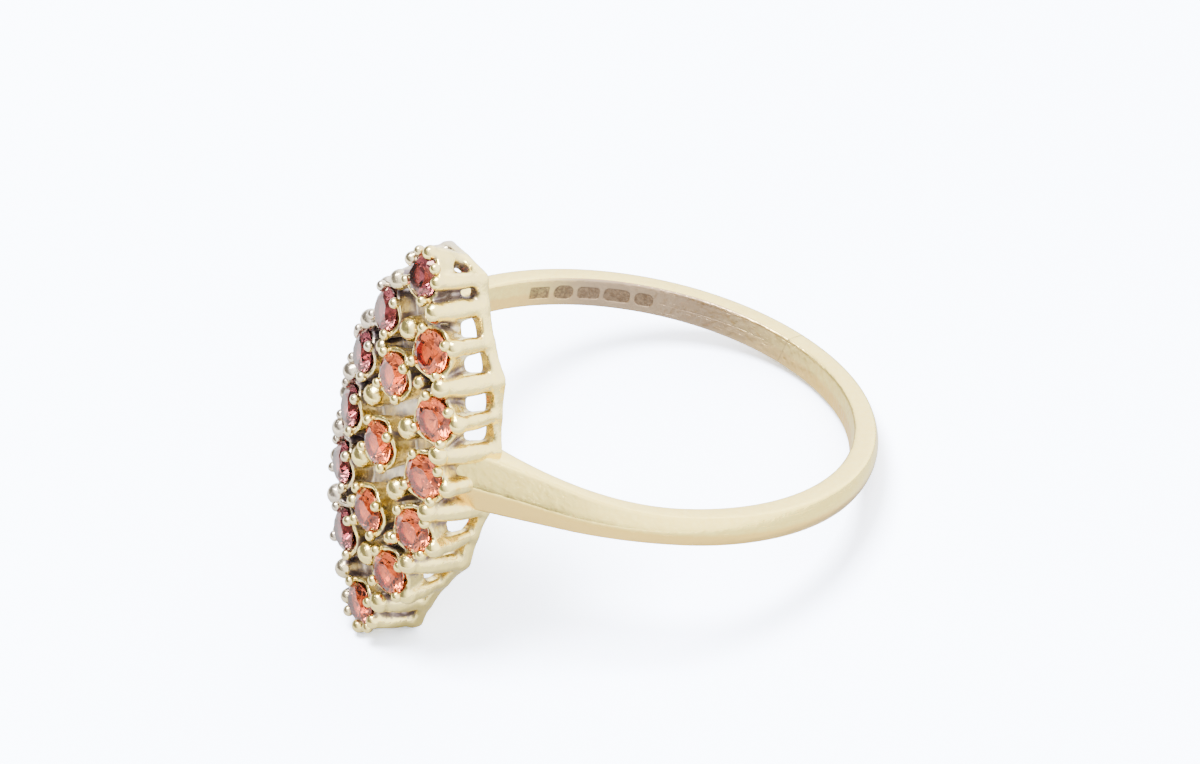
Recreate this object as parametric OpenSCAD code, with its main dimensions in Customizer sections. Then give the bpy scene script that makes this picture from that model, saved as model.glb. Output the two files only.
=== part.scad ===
// Navette cluster ring: fifteen round garnets in a pierced gold head on a tapered shank.
// The ring's own frame has its origin at the middle of the finger hole, +X to the head,
// +Y across the finger and +Z along it. stand() turns that frame into the way the ring rests.

/* [Finger] */
// Inside diameter of the shank
finger_d = 17; // [14:0.25:21]

/* [Shank] */
// Width of the shank at the back
shank_w = 1.2; // [0.9:0.05:1.8]
// Width of the shank where it meets the head
shoulder_w = 3.2; // [2.2:0.05:3.6]
// Thickness of the shank at its ridge
shank_t = 1; // [0.8:0.05:1.5]
// Fall of the outside from its ridge to its edges, for each mm across
ridge_slope = 0.55; // [0.2:0.05:0.6]
// Radius of the rounded top of the ridge
ridge_r = 0.3; // [0.1:0.05:1]
// How far in front of the finger hole's middle the shank starts to widen
flare_start = 3; // [0:0.25:4]
// Height of the shoulders' ends above the finger hole
shoulder_h = 1.7; // [1.2:0.05:2]
// Radius of the shoulders' outer corners at the ridge
shoulder_r = 1; // [0.9:0.05:1.2]
// Distance of the shank's ends from the inner face of the gallery's rail
end_setback = 0.1; // [0.05:0.05:0.2]

/* [Stones] */
// Diameter of each garnet
stone_d = 1.7; // [1.5:0.05:1.8]
// Distance between the middles of the two end stones
cluster_l = 14.2; // [13:0.1:17]
// Distance between the middles of the two widest stones
cluster_w = 5.3; // [5.2:0.1:6.4]
// Height of the middle stone's girdle above the finger hole
girdle_h = 2.7; // [2.5:0.05:3.2]
// How much lower the end stones stand than the middle one
end_drop = 0.6; // [0.3:0.05:0.7]
// How much lower the widest stones stand than the middle one
side_drop = 0.4; // [0.2:0.05:0.5]
// Free space between a stone and its seat
seat_gap = 0.03; // [0.02:0.01:0.04]

/* [Head] */
// Wall of each stone's cup at the girdle
cup_wall = 0.2; // [0.15:0.01:0.22]
// Diameter of the light hole under each stone
light_hole_d = 0.9; // [0.6:0.05:1.1]
// Height of the deck's underside above the finger hole
deck_h = 1.05; // [0.95:0.05:1.2]
// Thickness of the deck that joins the cups
deck_t = 0.45; // [0.35:0.05:0.6]
// Free space between the finger and the gallery's rail
rail_lift = 0.2; // [0.1:0.05:0.3]
// Thickness of the gallery's rail, away from the finger
rail_t = 0.45; // [0.35:0.05:0.5]
// Width of the rail's flat end, on which the ring rests
rail_end_w = 1.2; // [1:0.1:1.8]
// Width of the gallery's rail
rail_w = 0.62; // [0.5:0.02:0.8]
// Diameter of the claws that two stones share
claw_d = 0.84; // [0.64:0.02:0.9]
// Diameter of the lobes on the outer walls of the side stones' cups
lobe_d = 0.64; // [0.5:0.02:0.7]
// Diameter of the end stones' own claws
end_claw_d = 0.6; // [0.54:0.02:0.7]
// Distance of the end stones' own claws from the middle of the stone
claw_reach = 0.95; // [0.95:0.01:1.3]
// How far each shared claw stands outside the line between its two stones
claw_push = 0.55; // [0.45:0.05:0.7]
// How much further out the claws stand on the rail than at the stones
claw_spread = 0.2; // [0:0.05:0.3]
// How much nearer the middle the end claws stand on the rail than at the stones
end_lean = 0.6; // [0.4:0.05:0.7]
// Diameter of the bosses between four stones
boss_d = 1; // [0.8:0.05:1.1]
// Diameter of the grains that hold each stone
grain_d = 0.46; // [0.38:0.02:0.5]

/* [Hidden] */
$fn = 48;

// Places of the stones on one long side, from the middle to the end.
// Columns: share of half the cluster's length, share of half its width.
SIDE_STONES = [
  [0, 1],
  [0.338, 0.965],
  [0.67, 0.61],
];
// Share of half the cluster's length of the two stones beside the middle one
MIDDLE_SHARE = 0.413;
// Angle of the end stones' side claws, from the head's long axis
SIDE_CLAW_ANGLE = 78;
// Angles of the grains round each stone
GRAIN_ANGLES = [45, 135, 225, 315];
// Width of a claw's foot on the rail, and of a lobe's leg, as shares of their diameters
CLAW_FOOT = 0.75;
LOBE_LEG = 0.6;

finger_r = finger_d / 2;
half_l = cluster_l / 2;
half_w = cluster_w / 2;
stone_r = stone_d / 2;
seat_r = stone_r + seat_gap;
cup_r = seat_r + cup_wall;
saddle_r = finger_r + rail_lift;
rail_top_r = saddle_r + rail_t;
top_x = finger_r + girdle_h;
deck_x = finger_r + deck_h;
deck_mid_x = deck_x + deck_t / 2;
outside_r = finger_r + shank_t;

// Heights of a stone's parts as shares of its diameter
table_r = 0.57 * stone_r;
crown_h = 0.16 * stone_d;
girdle_t = 0.04 * stone_d;
pavilion_h = 0.43 * stone_d;

// The domed surface on which the girdles lie, and its outward direction
function girdle_x(p) = top_x - side_drop * pow(p[0] / half_w, 2) - end_drop * pow(p[1] / half_l, 2);
function outward(p) = [1, 2 * side_drop * p[0] / pow(half_w, 2), 2 * end_drop * p[1] / pow(half_l, 2)];

// Places in the head are [y, z] pairs
function side_stone(side, k) =
  [side * SIDE_STONES[abs(k)][1] * half_w, sign(k) * SIDE_STONES[abs(k)][0] * half_l];
function middle_stone(k) = [0, k * MIDDLE_SHARE * half_l];
function end_stone(end) = [0, end * half_l];

LEFT_STONES = [for (k = [2:-1:-2]) side_stone(1, k)];
RIGHT_STONES = [for (k = [-2:2]) side_stone(-1, k)];
OUTLINE_STONES = concat([end_stone(1)], LEFT_STONES, [end_stone(-1)], RIGHT_STONES);
STONES = concat(OUTLINE_STONES, [for (k = [-1:1]) middle_stone(k)]);

function unit(v) = v / norm(v);
function sum(numbers, i = 0) = i < len(numbers) ? numbers[i] + sum(numbers, i + 1) : 0;
function mean(points) = [for (i = [0, 1]) sum([for (p = points) p[i]]) / len(points)];
function reversed(list) = [for (i = [len(list) - 1:-1:0]) list[i]];

// A claw is [place of its top, direction away from the head, spread, diameter]. A corner of
// the rail is the same, without a diameter.
function end_claw(end) = [end_stone(end) + [0, end * claw_reach], [0, end], -end_lean, end_claw_d];
function rail_corner(end, side) =
  [end_stone(end) + [side * rail_end_w / 2, end * (claw_reach - end_lean)], [side / 2, end], 0];
function side_claw(end, side) =
  let (way = [side * sin(SIDE_CLAW_ANGLE), end * cos(SIDE_CLAW_ANGLE)])
  [end_stone(end) + claw_reach * way, way, claw_spread, end_claw_d];
function shared_claw(p, q) =
  let (across = unit(q - p), way = [-across[1], across[0]])
  [(p + q) / 2 + claw_push * way, way, claw_spread, claw_d];
function side_line(side, stones) =
  let (line = concat([end_stone(side)], stones, [end_stone(-side)]))
  concat(
    [side_claw(side, side)],
    [for (i = [0:len(line) - 2]) shared_claw(line[i], line[i + 1])],
    [side_claw(-side, side)]
  );

LEFT_CLAWS = side_line(1, LEFT_STONES);
RIGHT_CLAWS = side_line(-1, RIGHT_STONES);
CLAWS = concat(LEFT_CLAWS, RIGHT_CLAWS, [end_claw(1), end_claw(-1)]);
RAIL_TURNS = concat(
  [rail_corner(1, 1)], LEFT_CLAWS, [rail_corner(-1, 1)],
  [rail_corner(-1, -1)], RIGHT_CLAWS, [rail_corner(1, -1)]
);
function claw_foot(claw) = claw[0] + claw[2] * claw[1];
function rail_line(offset) = [for (turn = RAIL_TURNS) claw_foot(turn) + offset * turn[1]];
DECK_LINE = [for (turn = RAIL_TURNS) turn[0]];

// A lobe is [place of its leg on the rail, its stone]
function lobes(claws, stones) =
  [for (i = [0:len(stones) - 1]) [mean([claw_foot(claws[i + 1]), claw_foot(claws[i + 2])]), stones[i]]];
LOBES = concat(lobes(LEFT_CLAWS, LEFT_STONES), lobes(RIGHT_CLAWS, RIGHT_STONES));

// Bosses stand in the middle of four stones, pips in the middle of three
BOSSES = concat(
  [for (side = [-1, 1], end = [-1, 1])
    mean([side_stone(side, 0), side_stone(side, end), middle_stone(0), middle_stone(end)])],
  [for (end = [-1, 1])
    mean([end_stone(end), side_stone(1, 2 * end), side_stone(-1, 2 * end), middle_stone(end)])]
);
PIPS = [for (side = [-1, 1], end = [-1, 1])
  mean([side_stone(side, end), side_stone(side, 2 * end), middle_stone(end)])];

// Fall of the outside from its ridge, at z mm from it
function crown_drop(z) = sqrt(pow(ridge_slope * z, 2) + pow(ridge_slope * ridge_r, 2)) - ridge_slope * ridge_r;

// The ring rests on the rail's lower end and on the back of the shank's lower edge.
foot = rail_line(rail_w / 2)[0];
foot_x = sqrt(pow(saddle_r, 2) - pow(foot[0], 2));
foot_z = -foot[1];
back_x = crown_drop(shank_w / 2) - outside_r;
back_z = -shank_w / 2;
rest_tilt = atan2(back_z - foot_z, foot_x - back_x);

GARNETS = [for (i = [1:15]) str("garnet_", i < 10 ? "0" : "", i)];

module stand() rotate([0, -rest_tilt, 180]) children();

// Points +Z of its children along v, at the point p
module along(p, v) translate(p) rotate([0, acos(v[2] / norm(v)), atan2(v[1], v[0])]) children();

// Prism along +X from x0 to x1 over an outline of [y, z] points
module prism(x0, x1, outline) translate([x0, 0, 0]) rotate([90, 0, 90]) linear_extrude(x1 - x0) polygon(outline);

// Point on the side of the rail that faces the finger
function on_saddle(p) = [sqrt(pow(saddle_r, 2) - pow(p[0], 2)), p[0], p[1]];

// Round bar between two points, with a ball on the second one
module bar(p, q, r0, r1, ball_r) {
  along(p, q - p) cylinder(h = norm(q - p), r1 = r0, r2 = r1, $fn = 24);
  translate(q) sphere(r = ball_r, $fn = 24);
}

module at_stone(p) along([girdle_x(p), p[0], p[1]], outward(p)) children();

// Shank

// Shares of half the shoulders' width at which the outside is drawn
SHANK_LEVELS = [-1, -0.4, -0.2, -0.08, 0, 0.08, 0.2, 0.4, 1];
// Counts of flats on each shoulder's corner and on the round back
CORNER_FLATS = 8;
ROUND_FLATS = 72;
// Share of the outside's fall by which the shoulders' corners get sharper
CORNER_FALL = 0.8;

function shank_half_w(x) =
  shank_w / 2 + (shoulder_w - shank_w) / 2 * pow(max(0, x - flare_start) / (finger_r + shoulder_h - flare_start), 2);

// Outline of the shank's outside at z: two corners at the head, straight shoulders, a round back
function shank_level(z) =
  let (
    drop = crown_drop(z),
    big = outside_r - drop,
    small = shoulder_r - CORNER_FALL * drop,
    corner = [finger_r + shoulder_h - shoulder_r, half_w + stone_r - shoulder_r],
    straight = atan2(corner[1], corner[0]) + acos(min(1, (big - small) / norm(corner)))
  )
  concat(
    [for (i = [0:CORNER_FLATS]) let (a = straight * i / CORNER_FLATS)
      [corner[0] + small * cos(a), corner[1] + small * sin(a), z]],
    [for (i = [0:ROUND_FLATS]) let (a = straight + (360 - 2 * straight) * i / ROUND_FLATS)
      [big * cos(a), big * sin(a), z]],
    [for (i = [CORNER_FLATS:-1:0]) let (a = straight * i / CORNER_FLATS)
      [corner[0] + small * cos(a), -corner[1] - small * sin(a), z]]
  );

// Body whose outside is the shank's ridged outside and the straight shoulders
module shank_outside() {
  levels = [for (share = SHANK_LEVELS) shank_level(share * shoulder_w / 2)];
  n = len(levels[0]);
  last = (len(levels) - 1) * n;
  polyhedron(
    [for (level = levels) each level],
    concat(
      [[for (j = [0:n - 1]) j]],
      [for (i = [0:len(levels) - 2], j = [0:n - 1]) let (a = i * n + j, b = i * n + (j + 1) % n) [a, a + n, b]],
      [for (i = [0:len(levels) - 2], j = [0:n - 1]) let (a = i * n + j, b = i * n + (j + 1) % n) [b, a + n, b + n]],
      [[for (j = [n - 1:-1:0]) last + j]]
    )
  );
}

module shank_plan() {
  xs = [for (i = [0:8]) flare_start + i / 8 * (top_x - flare_start)];
  edge = concat([[-2 * outside_r, shank_w / 2]], [for (x = xs) [x, shank_half_w(x)]]);
  outline = concat(edge, [for (p = reversed(edge)) [p[0], -p[1]]]);
  rotate([90, 0, 0]) linear_extrude(4 * outside_r, center = true) polygon(outline);
}

module shank() {
  difference() {
    intersection() {
      shank_outside();
      shank_plan();
    }
    prism(finger_r / 2, 2 * top_x, rail_line(end_setback - rail_w / 2));
  }
}

// Head

module rail() {
  intersection() {
    difference() {
      cylinder(h = 2 * cluster_l, r = rail_top_r, center = true, $fn = 96);
      cylinder(h = 3 * cluster_l, r = saddle_r, center = true, $fn = 96);
    }
    difference() {
      prism(finger_r / 2, top_x, rail_line(rail_w / 2));
      prism(finger_r / 4, 2 * top_x, rail_line(-rail_w / 2));
    }
  }
}

module outer_claw(claw) {
  top = claw[0];
  r = claw[3] / 2;
  bar(on_saddle(claw_foot(claw)), [girdle_x(top), top[0], top[1]], r * CLAW_FOOT, r * 0.9, r);
}

// Leg from the rail up to a lobe on the outer wall of a stone's cup
module lobe(leg, stone) {
  top = stone + (cup_r - cup_wall / 2) * unit(leg - stone);
  r = lobe_d / 2;
  bar(on_saddle(leg), [(deck_mid_x + girdle_x(stone)) / 2, top[0], top[1]], r * LOBE_LEG, r * 0.9, r);
}

module cup(p) {
  deep = (girdle_x(p) - deck_mid_x) / unit(outward(p))[0];
  at_stone(p) translate([0, 0, -deep]) cylinder(h = deep, r1 = cup_r * 0.8, r2 = cup_r);
  for (angle = GRAIN_ANGLES)
    at_stone(p) rotate([0, 0, angle]) translate([seat_r + grain_d * 0.12, 0, girdle_t / 2])
      sphere(d = grain_d, $fn = 16);
}

// Post from the deck up to the girdles, between stones
module post(p, d) {
  bar([deck_mid_x, p[0], p[1]], [girdle_x(p) - d * 0.35, p[0], p[1]], d * 0.5, d * 0.45, d * 0.5);
}

// The room that a stone takes in the head, down through its light hole
module seat(p) {
  at_stone(p) {
    rotate_extrude($fn = 48)
      polygon([
        [0, -pavilion_h - seat_gap * 2],
        [seat_r, -girdle_t / 2 - seat_gap],
        [seat_r, girdle_t / 2 + seat_gap],
        [table_r + seat_gap, crown_h + seat_gap],
        [0, crown_h + seat_gap],
      ]);
    translate([0, 0, -2 * girdle_h]) cylinder(h = 2 * girdle_h - pavilion_h / 2, d = light_hole_d, $fn = 24);
  }
}

module ring_mount() color([0.86, 0.74, 0.5]) stand() {
  difference() {
    union() {
      shank();
      difference() {
        union() {
          rail();
          for (claw = CLAWS) outer_claw(claw);
          for (lobe = LOBES) lobe(lobe[0], lobe[1]);
        }
        cylinder(h = 2 * cluster_l, r = saddle_r, center = true, $fn = 96);
      }
      prism(deck_x, deck_x + deck_t, DECK_LINE);
      for (p = STONES) cup(p);
      for (p = BOSSES) post(p, boss_d);
      for (p = PIPS) post(p, boss_d * 0.6);
    }
    cylinder(h = 2 * shoulder_w, r = finger_r, center = true, $fn = 128);
    for (p = STONES) seat(p);
  }
}

// Garnets

// Round brilliant: a table, crown facets, a girdle and a pavilion to a point
module brilliant() {
  hull() {
    translate([0, 0, crown_h - 0.01]) rotate([0, 0, 22.5]) cylinder(h = 0.01, r = table_r, $fn = 8);
    translate([0, 0, -girdle_t / 2]) cylinder(h = girdle_t, r = stone_r, $fn = 16);
    translate([0, 0, -pavilion_h * 0.55]) rotate([0, 0, 22.5]) cylinder(h = 0.01, r = stone_r * 0.52, $fn = 8);
    translate([0, 0, -pavilion_h]) cylinder(h = 0.01, r = 0.03, $fn = 8);
  }
}

module garnet(i) color([0.62, 0.12, 0.09]) stand() at_stone(STONES[i]) brilliant();

ring_mount();
for (i = [0:14]) garnet(i);
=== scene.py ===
"""Looks of the cluster ring: polished 9 carat gold and fifteen garnets, on a pale floor."""
import math
from collections import namedtuple

import bmesh
import bpy
import numpy as np
from mathutils import Matrix, Vector


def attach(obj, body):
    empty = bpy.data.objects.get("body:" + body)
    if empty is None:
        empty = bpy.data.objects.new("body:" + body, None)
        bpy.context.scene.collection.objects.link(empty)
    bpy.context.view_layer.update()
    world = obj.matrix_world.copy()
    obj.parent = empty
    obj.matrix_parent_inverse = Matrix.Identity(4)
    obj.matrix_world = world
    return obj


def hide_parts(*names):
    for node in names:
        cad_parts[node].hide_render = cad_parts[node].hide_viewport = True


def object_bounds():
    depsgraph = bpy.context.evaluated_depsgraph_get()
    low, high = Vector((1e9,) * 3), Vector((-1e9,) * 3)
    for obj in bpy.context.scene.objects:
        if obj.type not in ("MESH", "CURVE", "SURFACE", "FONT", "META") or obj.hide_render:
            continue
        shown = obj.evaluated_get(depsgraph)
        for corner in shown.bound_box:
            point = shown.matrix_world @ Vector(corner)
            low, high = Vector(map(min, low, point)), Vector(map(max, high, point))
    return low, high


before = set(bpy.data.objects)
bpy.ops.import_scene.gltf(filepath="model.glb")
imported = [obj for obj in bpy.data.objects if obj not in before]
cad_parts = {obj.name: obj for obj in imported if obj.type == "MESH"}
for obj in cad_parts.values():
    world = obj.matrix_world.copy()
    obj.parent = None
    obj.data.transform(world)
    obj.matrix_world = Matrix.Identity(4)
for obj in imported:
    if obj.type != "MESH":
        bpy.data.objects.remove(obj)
cad_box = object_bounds()

# Sizes of the part, in millimetres, in the ring's own frame: +X to the head, +Z along the finger
MM = 0.001
FINGER_R = 8.5
SHANK_W, SHOULDER_W, SHANK_T = 1.2, 3.2, 1.0
RIDGE_SLOPE, RIDGE_R = 0.55, 0.3
FLARE_START, SHOULDER_H, SHOULDER_R = 3.0, 1.7, 1.0
STONE_R, SEAT_GAP = 0.85, 0.03
HALF_L, HALF_W = 7.1, 2.65
TOP_X, END_DROP, SIDE_DROP = 11.2, 0.6, 0.4
CUP_WALL, LIGHT_HOLE_R = 0.2, 0.45
DECK_X, DECK_T = 9.55, 0.45
SADDLE_R, RAIL_T, RAIL_W, RAIL_END_W = 8.7, 0.45, 0.62, 1.2
CLAW_R, END_CLAW_R, CLAW_REACH, CLAW_PUSH, CLAW_SPREAD, END_LEAN = 0.42, 0.3, 0.95, 0.55, 0.2, 0.6
CLAW_FOOT, LOBE_R, LOBE_LEG = 0.75, 0.32, 0.6
BOSS_D, GRAIN_D = 1.0, 0.46
SIDE_CLAW_ANGLE = math.radians(78)
REST_TILT = math.radians(21.7318)

# The stones' places as shares of the half length and, for the side ones, of the half width
SIDE_STONES = [(0, 1), (0.338, 0.965), (0.67, 0.61)]
MIDDLE_SHARE = 0.413

# Finish of the casting: fillets at the joins, and how far bars and rims swell
SOFT_RAIL, SOFT_CUP, SOFT_CLAW, SOFT_LOBE, SOFT_TOP, SOFT_CUT = 0.05, 0.1, 0.28, 0.15, 0.06, 0.03
RAIL_WAIST, CLAW_BELLY, LOBE_BELLY = 0.05, 0.28, 0.3
CUP_TAPER, RIM_DROP, RIM_WAVE, RIM_R = 0.2, 0.06, 0.07, 0.07
CROWN_LEAN, PAVILION_LEAN = 0.6, 0.71

TURN = Matrix.Rotation(math.pi, 4, "Z") @ Matrix.Rotation(-REST_TILT, 4, "Y")
TO_ROW = np.array(TURN.to_3x3())
rng = np.random.default_rng(7)


def to_row(points):
    """Points of the ring's frame, in mm, as points of the row frame, in metres."""
    return np.asarray(points, float) @ TO_ROW.T * MM


# Places in the head, as (y, z)

def girdle_x(y, z):
    """Height of the dome that the stones' girdles lie on."""
    return TOP_X - SIDE_DROP * (y / HALF_W) ** 2 - END_DROP * (z / HALF_L) ** 2


def outward(y, z):
    """Direction straight out of that dome."""
    v = np.array([1.0, 2 * SIDE_DROP * y / HALF_W ** 2, 2 * END_DROP * z / HALF_L ** 2])
    return v / np.linalg.norm(v)


def stone_axes(p):
    """Two directions in a stone's girdle plane, and the one out of its table."""
    way = outward(*p)
    east = np.cross(way, (0, 1, 0))
    east /= np.linalg.norm(east)
    return east, np.cross(way, east), way


def at_girdle(p, rise=0.0):
    """Point over a place of the head, that far outside the girdles' dome."""
    return np.array([girdle_x(*p), p[0], p[1]]) + rise * outward(*p)


def side_stone(side, k):
    share = SIDE_STONES[abs(k)]
    return np.array([side * share[1] * HALF_W, np.sign(k) * share[0] * HALF_L])


def middle_stone(k):
    return np.array([0.0, k * MIDDLE_SHARE * HALF_L])


def end_stone(end):
    return np.array([0.0, end * HALF_L])


LEFT = [side_stone(1, k) for k in (2, 1, 0, -1, -2)]
RIGHT = [side_stone(-1, k) for k in (-2, -1, 0, 1, 2)]
STONES = [end_stone(1)] + LEFT + [end_stone(-1)] + RIGHT + [middle_stone(k) for k in (-1, 0, 1)]


# Claws and corners of the rail: top's place, way out of the head, spread of the foot, radius

Claw = namedtuple("Claw", "top way spread radius")


def end_claw(end):
    way = np.array([0.0, end])
    return Claw(end_stone(end) + CLAW_REACH * way, way, -END_LEAN, END_CLAW_R)


def rail_corner(end, side):
    place = end_stone(end) + [side * RAIL_END_W / 2, end * (CLAW_REACH - END_LEAN)]
    return Claw(place, np.array([side / 2, end]), 0.0, 0.0)


def side_claw(end, side):
    way = np.array([side * math.sin(SIDE_CLAW_ANGLE), end * math.cos(SIDE_CLAW_ANGLE)])
    return Claw(end_stone(end) + CLAW_REACH * way, way, CLAW_SPREAD, END_CLAW_R)


def shared_claw(p, q):
    across = (q - p) / np.linalg.norm(q - p)
    way = np.array([-across[1], across[0]])
    return Claw((p + q) / 2 + CLAW_PUSH * way, way, CLAW_SPREAD, CLAW_R)


def side_line(side, stones):
    line = [end_stone(side)] + stones + [end_stone(-side)]
    shared = [shared_claw(p, q) for p, q in zip(line[:-1], line[1:])]
    return [side_claw(side, side)] + shared + [side_claw(-side, side)]


LEFT_CLAWS = side_line(1, LEFT)
RIGHT_CLAWS = side_line(-1, RIGHT)
CLAWS = LEFT_CLAWS + RIGHT_CLAWS + [end_claw(1), end_claw(-1)]
RAIL_TURNS = [rail_corner(1, 1)] + LEFT_CLAWS + [rail_corner(-1, 1)]
RAIL_TURNS += [rail_corner(-1, -1)] + RIGHT_CLAWS + [rail_corner(1, -1)]
DECK_LINE = np.array([turn.top for turn in RAIL_TURNS])


def foot(claw):
    return claw.top + claw.spread * claw.way


def lobes(claws, stones):
    return [((foot(a) + foot(b)) / 2, p) for a, b, p in zip(claws[1:], claws[2:], stones)]


def among(*stones):
    """Place in the middle of some stones."""
    return np.mean(stones, axis=0)


RAIL_LINE = np.array([foot(turn) for turn in RAIL_TURNS])
LOBES = lobes(LEFT_CLAWS, LEFT) + lobes(RIGHT_CLAWS, RIGHT)
QUARTERS = [(s, e) for s in (-1, 1) for e in (-1, 1)]
BOSSES = [among(side_stone(s, 0), side_stone(s, e), middle_stone(0), middle_stone(e))
          for s, e in QUARTERS]
BOSSES += [among(end_stone(e), side_stone(1, 2 * e), side_stone(-1, 2 * e), middle_stone(e))
           for e in (-1, 1)]
PIPS = [among(side_stone(s, e), side_stone(s, 2 * e), middle_stone(e)) for s, e in QUARTERS]


# Metal as a distance field on a grid, joined with small fillets as solder and casting do

class Field:
    """Distance to the metal on a grid of the ring's frame."""

    REACH = 0.5

    def __init__(self, low, high, step):
        self.low, self.step = np.array(low, float), step
        self.count = np.ceil((np.array(high) - self.low) / step).astype(int) + 1
        self.d = np.full(self.count, self.REACH)

    def block(self, low, high):
        """The grid's nodes within a box, as slices and as points."""
        first = (np.array(low) - self.low) / self.step
        last = (np.array(high) - self.low) / self.step
        a = np.clip(np.floor(first).astype(int), 0, self.count - 1)
        b = np.clip(np.ceil(last).astype(int) + 1, 1, self.count)
        axes = [self.low[i] + self.step * np.arange(a[i], b[i]) for i in range(3)]
        grid = np.stack(np.meshgrid(*axes, indexing="ij"), axis=-1)
        return tuple(slice(a[i], b[i]) for i in range(3)), grid

    def add(self, shape, low, high, soft):
        """Joins a shape, with a fillet of about soft mm."""
        where, grid = self.block(np.array(low) - self.REACH, np.array(high) + self.REACH)
        a, b = self.d[where], shape(grid)
        h = np.maximum(soft - np.abs(a - b), 0) / soft
        self.d[where] = np.minimum(a, b) - h * h * soft / 4

    def cut(self, shape, low, high, soft):
        """Cuts a shape out, with edges broken by about soft mm."""
        pad = soft + 3 * self.step
        where, grid = self.block(np.array(low) - pad, np.array(high) + pad)
        a, b = self.d[where], -shape(grid)
        h = np.maximum(soft - np.abs(a - b), 0) / soft
        self.d[where] = np.maximum(a, b) + h * h * soft / 4

    def sample(self, values, points):
        """Values of a grid at points, between its nodes."""
        q = (points - self.low) / self.step
        i = np.clip(np.floor(q).astype(int), 0, self.count - 2)
        f = np.clip(q - i, 0, 1)
        out = 0
        for c in [(x, y, z) for x in (0, 1) for y in (0, 1) for z in (0, 1)]:
            w = np.prod([f[:, k] if c[k] else 1 - f[:, k] for k in range(3)], axis=0)
            value = values[i[:, 0] + c[0], i[:, 1] + c[1], i[:, 2] + c[2]]
            out = out + (w[:, None] * value if value.ndim > 1 else w * value)
        return out


def prong(p, q, r0, r1, belly=0.0):
    """Round bar from p to q with radii r0 and r1 and a belly, as a shape and its box."""
    p, q = np.array(p, float), np.array(q, float)
    along = q - p
    length2 = along @ along

    def shape(g):
        t = np.clip((g - p) @ along / length2, 0, 1)
        r = r0 + (r1 - r0) * t + belly * np.sin(math.pi * t)
        return np.linalg.norm(g - p - t[..., None] * along, axis=-1) - r

    r = max(r0, r1) + belly
    return shape, np.minimum(p, q) - r, np.maximum(p, q) + r


def bead(c, r, squash=1.0, way=(1, 0, 0)):
    """Ball, flattened along a way to the share squash, as a shape and its box."""
    c, way = np.array(c, float), np.array(way, float)
    way = way / np.linalg.norm(way)

    def shape(g):
        v = g - c
        up = v @ way
        flat2 = np.maximum((v ** 2).sum(axis=-1) - up ** 2, 0)
        return (np.sqrt(flat2 + (up / squash) ** 2) - r) * squash

    return shape, c - r, c + r


def turned(p, profile, depth):
    """Shape turned about a stone's axis: profile(height, radius, angle) gives the distance."""
    rise, wide = 0.4, 1.25
    c = at_girdle(p)
    east, north, way = stone_axes(p)

    def shape(g):
        v = g - c
        e, n, up = v @ east, v @ north, v @ way
        return profile(up, np.hypot(e, n), np.arctan2(n, e))

    return shape, c - (depth, wide, wide), c + (rise, wide, wide)


def polygon_distance(points, y, z):
    """Signed distance to a closed polygon of (y, z) points, under 0 inside."""
    d = np.full(y.shape, 1e9)
    inside = np.zeros(y.shape, bool)
    for a, b in zip(points, np.roll(points, -1, axis=0)):
        e = b - a
        wy, wz = y - a[0], z - a[1]
        t = np.clip((wy * e[0] + wz * e[1]) / (e @ e), 0, 1)
        d = np.minimum(d, (wy - e[0] * t) ** 2 + (wz - e[1] * t) ** 2)
        at = a[0] + (z - a[1]) * e[0] / (e[1] if e[1] else 1e-12)
        inside ^= ((a[1] > z) != (b[1] > z)) & (y < at)
    return np.where(inside, -np.sqrt(d), np.sqrt(d))


def rounded(a, b, r):
    """The inside of two faces, their shared edge rounded to r."""
    a, b = a + r, b + r
    return np.hypot(np.maximum(a, 0), np.maximum(b, 0)) + np.minimum(np.maximum(a, b), 0) - r


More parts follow.
